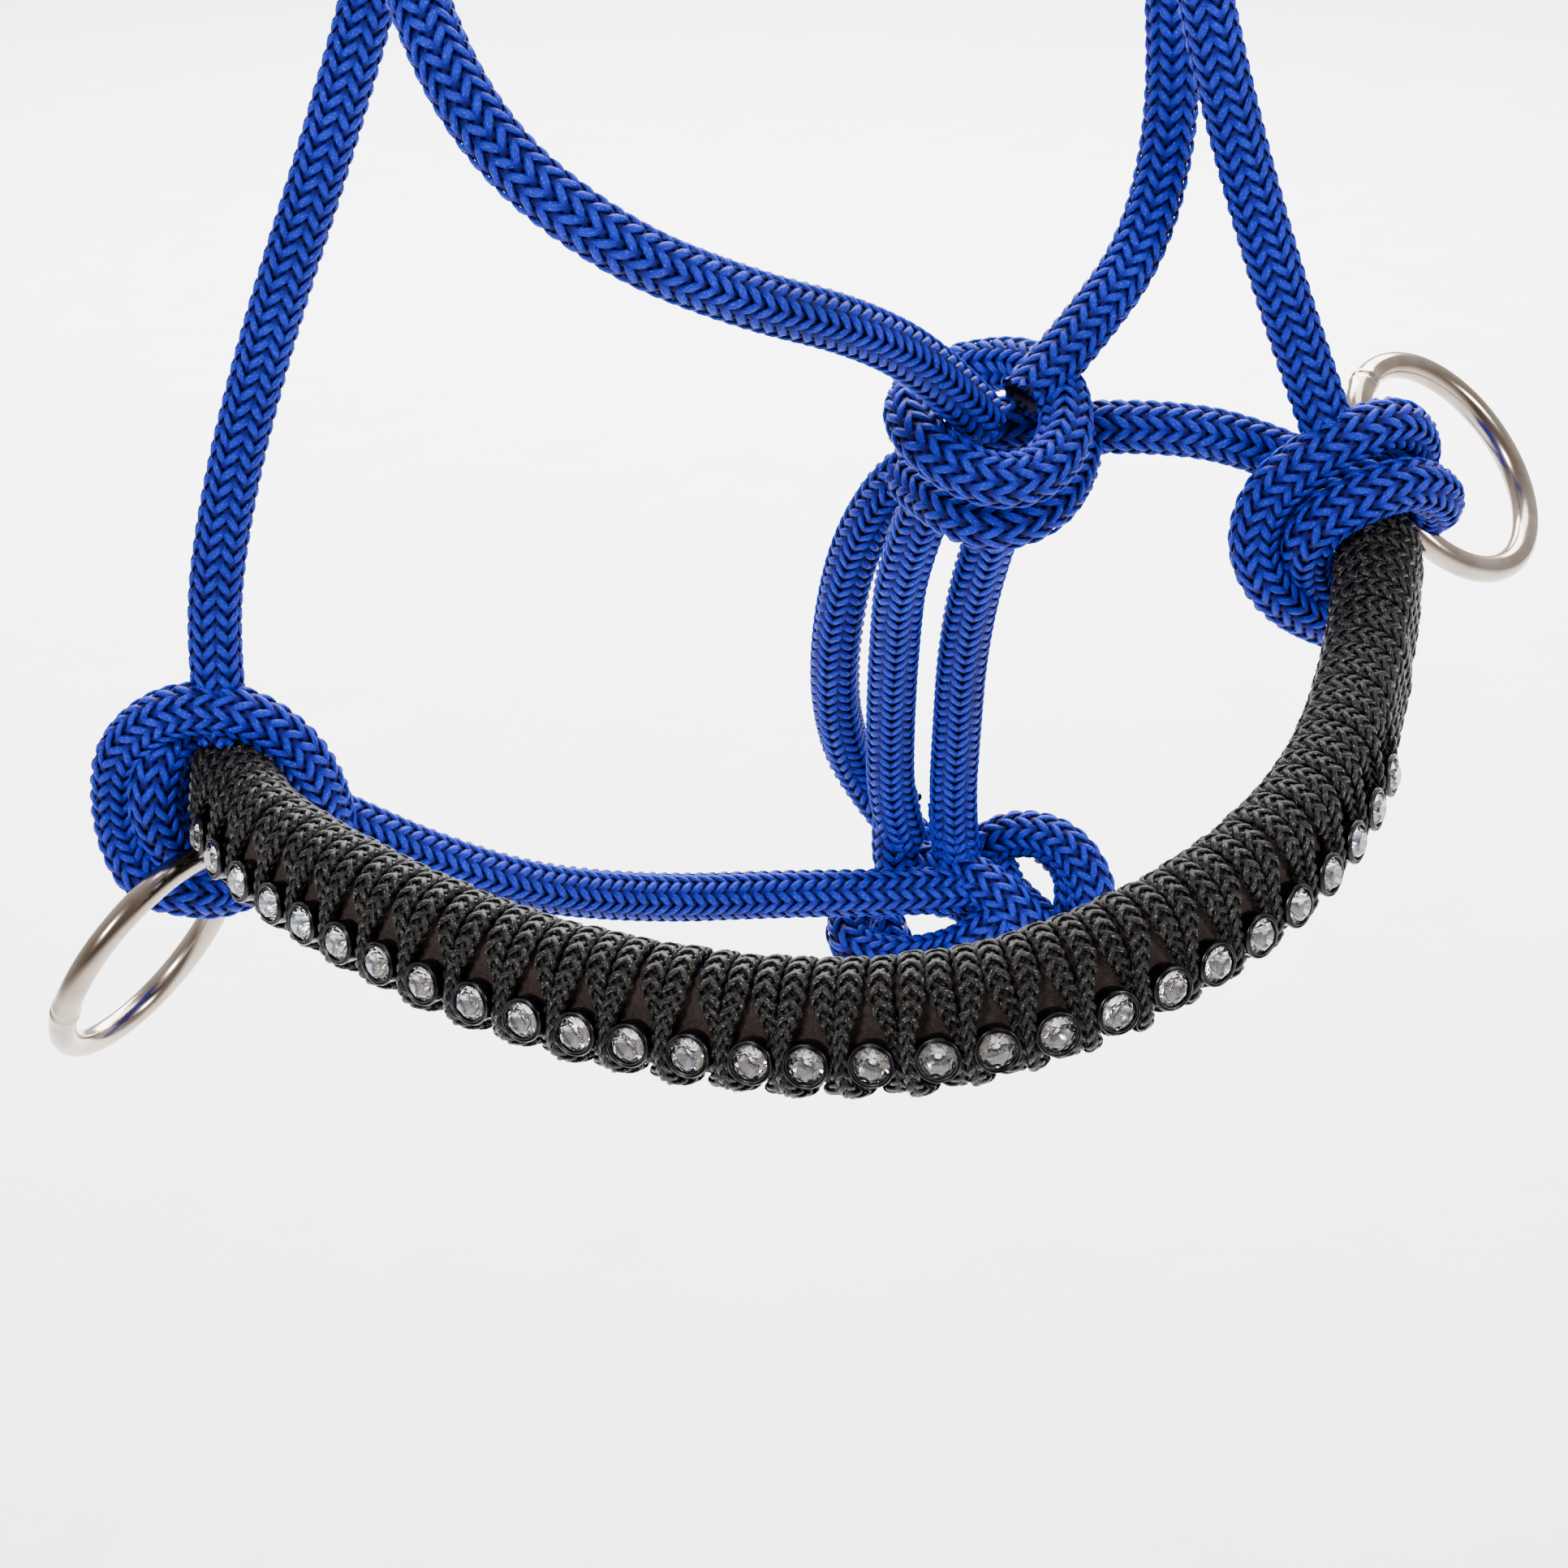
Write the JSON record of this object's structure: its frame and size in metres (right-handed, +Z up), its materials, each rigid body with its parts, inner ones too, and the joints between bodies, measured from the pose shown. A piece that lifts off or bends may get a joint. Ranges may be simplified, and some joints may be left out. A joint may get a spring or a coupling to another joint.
{
  "type": "rope halter",
  "caption": "Braided rope halter with a cord-wrapped noseband set with crystals, a tie ring on each nose knot, throat and chin knots, and a crown tied into an eye loop.",
  "frame": {"origin": "underside of the two crown ropes at the poll, where a head or a peg carries the halter", "axes": "+Z up, -Y forwards along the nose, +X to the right as seen from the front"},
  "size_m": [0.178, 0.1277, 0.434],
  "materials": {
    "halter_rope": "braided polyester",
    "wrap_cord": "plaited polyester, satin",
    "strip": "suede",
    "cup_metal": "gunmetal, satin",
    "crystal": "cut, foil backed",
    "ring_metal": "nickel plated"
  },
  "bodies": {
    "halter": {"left_cheek_rope": "halter_rope", "right_cheek_rope": "halter_rope", "left_chin_rope": "halter_rope", "right_chin_rope": "halter_rope", "left_link_rope": "halter_rope", "right_link_rope": "halter_rope", "left_throat_rope": "halter_rope", "right_throat_rope": "halter_rope", "crown_front_rope": "halter_rope", "crown_rear_rope": "halter_rope", "eye_loop": "halter_rope", "chin_knot": "halter_rope", "throat_knot": "halter_rope", "left_crown_knot": "halter_rope", "right_crown_knot": "halter_rope", "tie_knot": "halter_rope", "left_nose_knot": "halter_rope", "right_nose_knot": "halter_rope", "noseband_upper_rope": "halter_rope", "noseband_lower_rope": "halter_rope", "noseband_strip": "strip", "noseband_wrap": "wrap_cord", "crystal_cups": "cup_metal", "crystals": "crystal"},
    "left_ring": {"left_ring": "ring_metal"},
    "right_ring": {"right_ring": "ring_metal"},
    "front_tail": {"front_tail": "halter_rope"},
    "rear_tail": {"rear_tail": "halter_rope"}
  },
  "joints": [
    {"name": "left_ring_swing", "type": "hinge", "parent": "halter", "child": "left_ring", "pos_m": [-0.06806, -0.00127, -0.3909], "axis": [-0.3201, -0.9072, 0.2731], "range_deg": [-35, 45]},
    {"name": "right_ring_swing", "type": "hinge", "parent": "halter", "child": "right_ring", "pos_m": [0.06953, 0.014, -0.34936], "axis": [-0.426, 0.509, 0.748], "range_deg": [-40, 40]},
    {"name": "front_tail_swing", "type": "hinge", "parent": "halter", "child": "front_tail", "pos_m": [0.0432, -0.0058, -0.0945], "axis": [0, -1, 0], "range_deg": [0, 35]},
    {"name": "rear_tail_swing", "type": "hinge", "parent": "halter", "child": "rear_tail", "pos_m": [0.0432, 0.0098, -0.0945], "axis": [0, -1, 0], "range_deg": [0, 35]}
  ]
}
